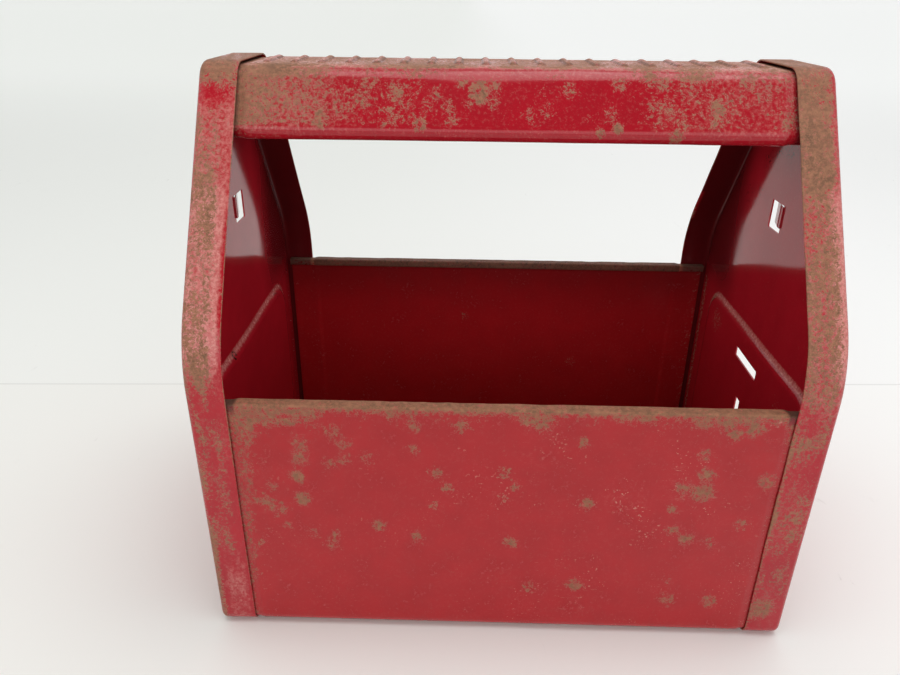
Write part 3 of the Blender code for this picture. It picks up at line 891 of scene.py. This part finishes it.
def handle_wear_and_painted_light(x, y, z, facing_in):
    mm_x, mm_z = x * MM, z * MM
    swirl = waves(91, 0.010)(x, z * 1.4 + y)
    drift = waves(93, 0.035)(x, z * 1.4 + y)
    along = np.where(y < 0, mm_x, -mm_x * 0.9)
    face = np.interp(along, [-150, -131, -122, -112, -88, -60, -38, -28, 20, 48, 64, 90, 110, 134, 150],
                     [1.0, 0.97, 0.72, 0.52, 0.44, 0.34, 0.14, 0.0, 0.0, 0.06, 0.26, 0.30, 0.32, 0.34, 0.5])
    face = face - 0.60 * smooth((259.5 - mm_z) / 4) + 0.07 * drift
    rng = np.random.default_rng(8)
    back = []
    for _ in range(30):
        place = (rng.uniform(-130, 130), rng.uniform(256, 278))
        back.append(place + (rng.uniform(3, 7), rng.uniform(0.6, 1.0)))
    face = np.maximum(face, np.where(y < 0, spots(x, z, HANDLE_SPOTS), spots(x, z, back)))
    hole = np.maximum(0, spots(x, z, [(-17.3, 273.2, 1.1, 1.0)])) * (y < 0)
    face = face - 0.9 * hole
    top = smooth((mm_z - 282.3) / 0.9)
    bend = band(mm_z, 279.6, 282.6, 1.4)
    crest = rib_height(x, y) / RIB_HEIGHT
    top_rust = 0.74 + 0.12 * drift + 0.05 * swirl - 0.10 * crest
    rust = face * (1 - top) + top_rust * top
    rust = rust + bend * (0.12 + 0.16 * drift)
    # painted sheen on the top bend and the flat top; faded paint towards both ends
    fade_and_sheen = 0.12 * bend + 0.46 * top
    fade_and_sheen = fade_and_sheen + 0.26 * smooth((-60 - along) / 50) + 0.16 * smooth((along - 60) / 40)
    low = smooth((256.5 - mm_z) / 3)
    fade_and_sheen = fade_and_sheen * (1 - 0.85 * low)
    rust = np.where(facing_in, 0.20 + 0.1 * drift, rust)
    fade_and_sheen = np.where(facing_in, 0.05, fade_and_sheen)
    # painted shadow along the edges of the pans' flanges
    flange_shadow = smooth((np.abs(mm_x) - FLANGE_SHADOW_START) / 0.8) * ~facing_in
    grime = 0.10 * smooth((swirl - 0.8) / 0.6) - 0.1
    # painted shade on the rib flanks, and a little over everything below the top
    dark = np.maximum(0.70 * flange_shadow, 0.45 * top * band(crest, 0.2, 0.6, 0.2))
    dark = np.maximum(dark, 0.10 * (1 - top))
    return {"rust": rust, "fade_and_sheen": fade_and_sheen, "grime": grime, "dark": dark, "marks": np.where(facing_in, 0.0, 0.16)}


def make_handle():
    points, normals = handle_outline()
    ribbed = RIB_PITCH * (RIB_COUNT // 2) + RIB_HALF_WIDTH * 1.2
    body = np.linspace(-ribbed, ribbed, 401)
    side = np.linspace(ribbed, STEP_START, 5)[1:]
    step = np.linspace(STEP_START, STEP_END, 8)[1:]
    tail = np.linspace(STEP_END, HANDLE_HALF_LENGTH, 7)[1:]
    half = np.concatenate([side, step, tail])
    stations = np.concatenate([-half[::-1], body, half])
    dents, small = waves(37, 0.070), waves(39, 0.022)

    def outward(x, y, z):
        room = smooth((STEP_START - np.abs(x)) / 0.02)
        ribs = rib_height(x, y) * smooth((z - 0.2775) / 0.003)
        return ribs - room * HANDLE_DENT * (0.5 + 0.35 * dents(x, z + y) + 0.15 * small(x, z + y))

    vertices, faces, depth = lofted_sheet(points, normals, stations, outward)
    wear_and_painted_light = handle_wear_and_painted_light(*vertices.T, depth > RIM)
    make_piece("handle_sheet", vertices, faces, wear_and_painted_light, "handle_channel", handle_material)


make_end_pan("end_pan_left_sheet", -1, "end_pan_left")
make_end_pan("end_pan_right_sheet", 1, "end_pan_right")
make_tray()
make_handle()


# ---------------------------------------------------------------- floor, light, camera

JOINT_SLOPE = 0.041
JOINT_Y = 0.1715
SHADE_DIRECTION = (0.0, -0.59, 0.807)
FILL_DIRECTION = (0.0, -0.94, 0.34)

CAMERA_LENS = 29.156
CAMERA_PLACE = (-0.0221, -0.3977, 0.3166)
CAMERA_YAW = math.radians(1.193)
CAMERA_PITCH = math.radians(-25.472)
CAMERA_ROLL = math.radians(-0.607)


def make_floor():
    """Pale paper: a near sheet and, past a faint straight joint behind the caddy, a paler one, both with
    painted light that makes them paler towards +X.
    """
    reach, cells, crowding = 60.0, 24, 5.5
    grid = np.sinh(np.linspace(-crowding, crowding, cells + 1)) / math.sinh(crowding) * reach
    vertices = [(x, y, 0.0) for y in grid for x in grid]
    wide = cells + 1
    faces = []
    for row in range(cells):
        for column in range(cells):
            a = row * wide + column
            faces.append((a, a + 1, a + wide + 1, a + wide))
    data = bpy.data.meshes.new("paper_floor")
    data.from_pydata(vertices, [], faces)
    floor = bpy.data.objects.new("paper_floor", data)
    bpy.context.scene.collection.objects.link(floor)

    material = bpy.data.materials.new("paper")
    material.use_nodes = True
    n = Nodes(material.node_tree)
    shader = material.node_tree.nodes["Principled BSDF"]
    axes = n.add("ShaderNodeSeparateXYZ")
    n.feed(axes.inputs[0], n.place())
    x, y = axes.outputs[0], axes.outputs[1]
    past = n.math("SUBTRACT", y, n.math("ADD", n.math("MULTIPLY", x, JOINT_SLOPE), JOINT_Y))
    beyond = n.ramp(past, -0.0006, 0.0006)
    joint = n.math("MULTIPLY", n.ramp(past, -0.0016, 0.0), n.ramp(past, 0.0, 0.0016, 1.0, 0.0))
    # painted light: the paper paler towards +X
    painted_light_across = n.ramp(x, -0.35, 0.55, 0.0, 1.0)
    near = n.mix(painted_light_across, (0.86, 0.865, 0.835), (0.95, 0.95, 0.945))
    far = n.mix(painted_light_across, (0.86, 0.87, 0.845), (0.95, 0.95, 0.95))
    colour = n.mix(beyond, near, far)
    colour = n.mix(n.math("MULTIPLY", joint, 0.35), colour, (0.45, 0.45, 0.43))
    scuff = n.noise(1.0, 4.0, 0.6, vector=n.stretched(70.0, 22.0, 1.0), distortion=1.2)
    scuff = n.math("MULTIPLY", n.ramp(scuff, 0.66, 0.74), n.ramp(n.noise(7.0, 2.0, 0.5), 0.52, 0.64))
    colour = n.mix(n.math("MULTIPLY", scuff, 0.30), colour, (0.40, 0.39, 0.38))
    n.feed(shader.inputs["Base Color"], colour)
    shader.inputs["Roughness"].default_value = 0.75
    shader.inputs["Specular IOR Level"].default_value = 0.2
    # a weak glow keeps the distant paper as pale as the near paper
    shader.inputs["Emission Color"].default_value = (0.96, 1.0, 0.97, 1.0)
    n.feed(shader.inputs["Emission Strength"], n.ramp(y, 0.25, 3.0, 0.0, 0.16))
    data.materials.append(material)


def make_world():
    """Even pale surroundings, brighter low in front and dark in a cone above that."""
    world = bpy.data.worlds.new("studio")
    bpy.context.scene.world = world
    world.use_nodes = True
    n = Nodes(world.node_tree)
    background = world.node_tree.nodes["Background"]
    direction = n.add("ShaderNodeTexCoord").outputs["Generated"]
    lean = n.add("ShaderNodeVectorMath", operation="DOT_PRODUCT")
    n.feed(lean.inputs[0], direction)
    lean.inputs[1].default_value = SHADE_DIRECTION
    shade = n.ramp(lean.outputs["Value"], 0.84, 0.955)
    fill = n.add("ShaderNodeVectorMath", operation="DOT_PRODUCT")
    n.feed(fill.inputs[0], direction)
    fill.inputs[1].default_value = FILL_DIRECTION
    colour = n.mix(n.ramp(fill.outputs["Value"], 0.55, 0.97), (0.80, 0.81, 0.805), (1.90, 1.87, 1.84))
    colour = n.mix(shade, colour, (0.08, 0.08, 0.08))
    n.feed(background.inputs["Color"], colour)
    background.inputs["Strength"].default_value = 1.0


def add_light(name, place, target, size, power, tint):
    data = bpy.data.lights.new(name, "AREA")
    data.shape = "RECTANGLE"
    data.size, data.size_y = size
    data.energy = power
    data.color = tint
    light = bpy.data.objects.new(name, data)
    light.location = place
    light.rotation_euler = (Vector(target) - Vector(place)).to_track_quat("-Z", "Y").to_euler()
    bpy.context.scene.collection.objects.link(light)


def make_camera():
    data = bpy.data.cameras.new("camera")
    data.sensor_width = 36.0
    data.lens = CAMERA_LENS
    camera = bpy.data.objects.new("camera", data)
    yaw = Matrix.Rotation(CAMERA_YAW, 4, "Z")
    pitch = Matrix.Rotation(CAMERA_PITCH, 4, "X")
    roll = Matrix.Rotation(CAMERA_ROLL, 4, "Y")
    upright = Matrix.Rotation(math.pi / 2, 4, "X")
    camera.matrix_world = Matrix.Translation(CAMERA_PLACE) @ yaw @ pitch @ roll @ upright
    bpy.context.scene.collection.objects.link(camera)
    bpy.context.scene.camera = camera


make_floor()
make_world()
add_light("overhead", (0.12, -0.12, 1.5), (0.0, 0.0, 0.1), (1.1, 0.8), 7.5, (1.0, 0.99, 0.97))
make_camera()
bpy.context.scene.view_settings.view_transform = "Standard"
bpy.context.scene.view_settings.look = "None"
